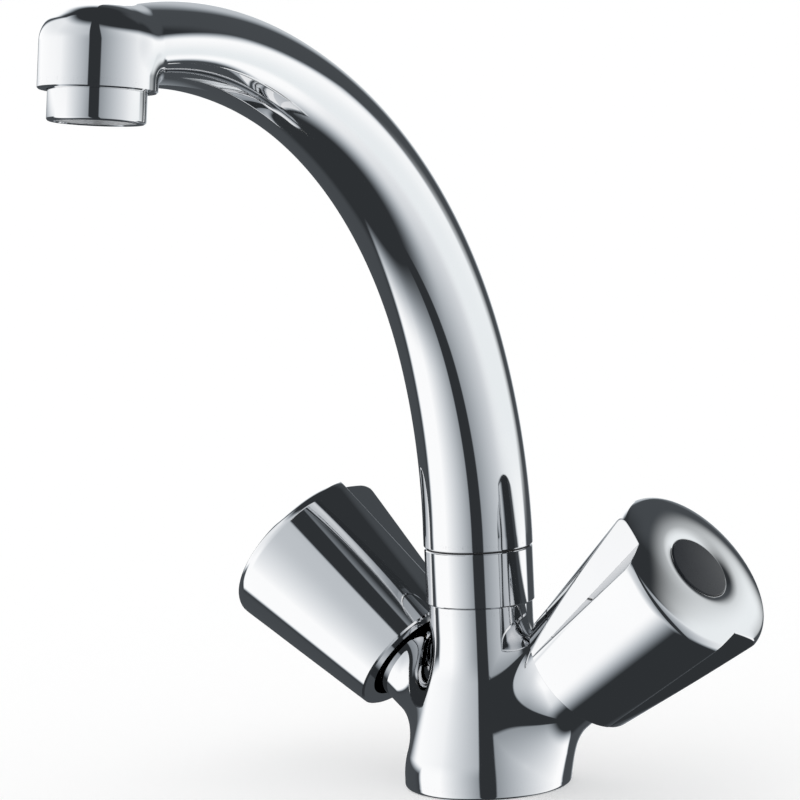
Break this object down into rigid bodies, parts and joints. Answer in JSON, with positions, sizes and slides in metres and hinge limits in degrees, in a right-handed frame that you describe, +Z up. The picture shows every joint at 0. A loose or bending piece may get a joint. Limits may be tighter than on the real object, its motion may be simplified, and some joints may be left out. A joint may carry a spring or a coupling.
{
  "type": "two handle kitchen faucet",
  "caption": "Deck-mounted kitchen mixer tap: conical grooved handles on raised arms, and a swivelling arched tapered spout with a drop outlet head.",
  "frame": {"origin": "centre of the base's underside, on the deck", "axes": "+Z up along the neck, the spout points to -Y, hot handle at -X, cold handle at +X"},
  "size_m": [0.176, 0.209, 0.3003],
  "materials": {
    "chrome": "bright chromium plate, mirror polished",
    "hot_index": "dark glossy index button",
    "cold_index": "dark glossy index button",
    "brass": "machined",
    "ceramic": "lapped white",
    "seal_rubber": "moulded black",
    "plated_steel": "zinc plated",
    "spring_steel": "spring temper",
    "aerator_plastic": "moulded grey",
    "dark_nylon": "moulded black"
  },
  "bodies": {
    "fixture": {"body": "chrome", "collar_nut": "chrome", "slip_washer": "dark_nylon", "base_gasket": "seal_rubber", "deck_stud": "plated_steel", "deck_rubber_washer": "seal_rubber", "deck_metal_washer": "plated_steel", "deck_nut": "plated_steel", "hot_seat_seal": "seal_rubber", "hot_fixed_disc": "ceramic", "hot_bonnet": "brass", "cold_seat_seal": "seal_rubber", "cold_fixed_disc": "ceramic", "cold_bonnet": "brass"},
    "spout_body": {"spout": "chrome", "split_ring": "spring_steel", "spout_oring_lower": "seal_rubber", "spout_oring_upper": "seal_rubber", "aerator_ring": "chrome", "aerator_insert": "aerator_plastic", "aerator_washer": "seal_rubber"},
    "hot_control": {"hot_handle": "chrome", "hot_button": "hot_index", "hot_screw": "plated_steel", "hot_spindle": "brass", "hot_spindle_oring": "seal_rubber", "hot_clip": "spring_steel", "hot_rotating_disc": "ceramic"},
    "cold_control": {"cold_handle": "chrome", "cold_button": "cold_index", "cold_screw": "plated_steel", "cold_spindle": "brass", "cold_spindle_oring": "seal_rubber", "cold_clip": "spring_steel", "cold_rotating_disc": "ceramic"}
  },
  "joints": [
    {"name": "spout_swivel", "type": "hinge", "parent": "fixture", "child": "spout_body", "pos_m": [0, 0, 0.0724], "axis": [0, 0, 1], "continuous": true},
    {"name": "hot_handle_turn", "type": "hinge", "parent": "fixture", "child": "hot_control", "pos_m": [0, 0.0065, 0.0104], "axis": [-0.7826, 0, 0.6225], "range_deg": [0, 180]},
    {"name": "cold_handle_turn", "type": "hinge", "parent": "fixture", "child": "cold_control", "pos_m": [0, 0.0065, 0.0104], "axis": [0.7826, 0, 0.6225], "range_deg": [0, 180]}
  ]
}
